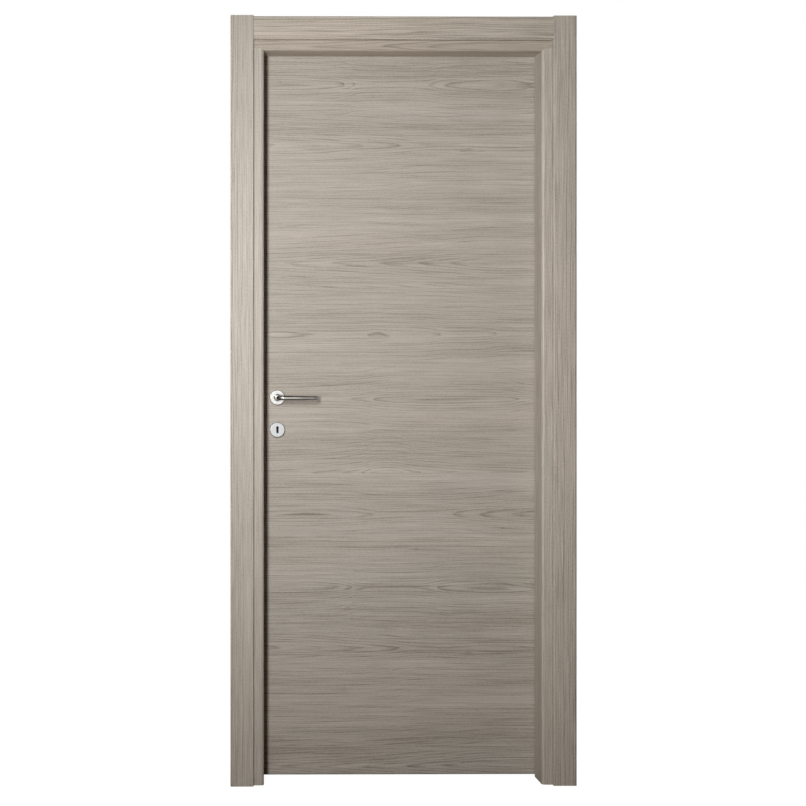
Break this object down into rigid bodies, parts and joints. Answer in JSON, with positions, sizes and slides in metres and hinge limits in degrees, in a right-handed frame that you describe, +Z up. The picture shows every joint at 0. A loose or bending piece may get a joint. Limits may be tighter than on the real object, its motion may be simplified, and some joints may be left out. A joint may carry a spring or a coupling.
{
  "type": "interior door",
  "caption": "Flush interior door in its jambs and flat casings: rebated hollow-core leaf in grey-taupe wood-grain laminate on barrel hinges, with a lever handle and a keyhole rosette.",
  "frame": {"origin": "floor level on the hinge jamb's wall face, at half the jamb's depth", "axes": "+X along the wall out of the frame on the hinge side, +Y from the push side to the pull side, +Z up"},
  "size_m": [0.989, 0.1716, 2.1995],
  "materials": {
    "laminate_leaf": "matt grey-taupe wood-grain laminate, grain across the leaf",
    "laminate_upright": "matt grey-taupe wood-grain laminate, grain upright",
    "laminate_head": "matt grey-taupe wood-grain laminate, grain across",
    "seal_rubber": "soft dark brown seal",
    "lever_satin_metal": "satin",
    "rosette_bright_metal": "satin bright",
    "hinge_metal": "satin",
    "lock_metal": "satin",
    "lock_case_metal": "dark"
  },
  "bodies": {
    "frame": {"hinge_jamb": "laminate_upright", "lock_jamb": "laminate_upright", "head_jamb": "laminate_head", "hinge_jamb_rebate": "laminate_upright", "lock_jamb_rebate": "laminate_upright", "head_jamb_rebate": "laminate_head", "push_hinge_casing": "laminate_upright", "push_lock_casing": "laminate_upright", "push_head_casing": "laminate_head", "pull_hinge_casing": "laminate_upright", "pull_lock_casing": "laminate_upright", "pull_head_casing": "laminate_head", "hinge_seal": "seal_rubber", "lock_seal": "seal_rubber", "head_seal": "seal_rubber", "strike_plate": "lock_metal", "low_hinge_frame_half": "hinge_metal", "middle_hinge_frame_half": "hinge_metal", "top_hinge_frame_half": "hinge_metal"},
    "leaf": {"leaf_push_skin": "laminate_leaf", "leaf_pull_skin": "laminate_leaf", "leaf_lock_stile": "laminate_upright", "leaf_hinge_stile": "laminate_upright", "leaf_top_rail": "laminate_leaf", "leaf_bottom_rail": "laminate_leaf", "lock_faceplate": "lock_metal", "lock_case": "lock_case_metal", "latch_bolt": "lock_metal", "dead_bolt": "lock_metal", "push_handle_rosette": "rosette_bright_metal", "pull_handle_rosette": "rosette_bright_metal", "push_key_rosette": "rosette_bright_metal", "pull_key_rosette": "rosette_bright_metal", "low_hinge_leaf_half": "hinge_metal", "middle_hinge_leaf_half": "hinge_metal", "top_hinge_leaf_half": "hinge_metal"},
    "handle": {"push_lever": "lever_satin_metal", "pull_lever": "lever_satin_metal", "handle_spindle": "lock_case_metal"}
  },
  "joints": [
    {"name": "leaf_swing", "type": "hinge", "parent": "frame", "child": "leaf", "pos_m": [-0.017, 0.065, 0.23], "axis": [0, 0, -1], "range_deg": [0, 170]},
    {"name": "lever_turn", "type": "hinge", "parent": "leaf", "child": "handle", "pos_m": [-0.796, 0.025, 1.106], "axis": [0, 1, 0], "range_deg": [0, 45], "stiffness_Nm_per_rad": 1.2, "springref_deg": -34.38}
  ]
}
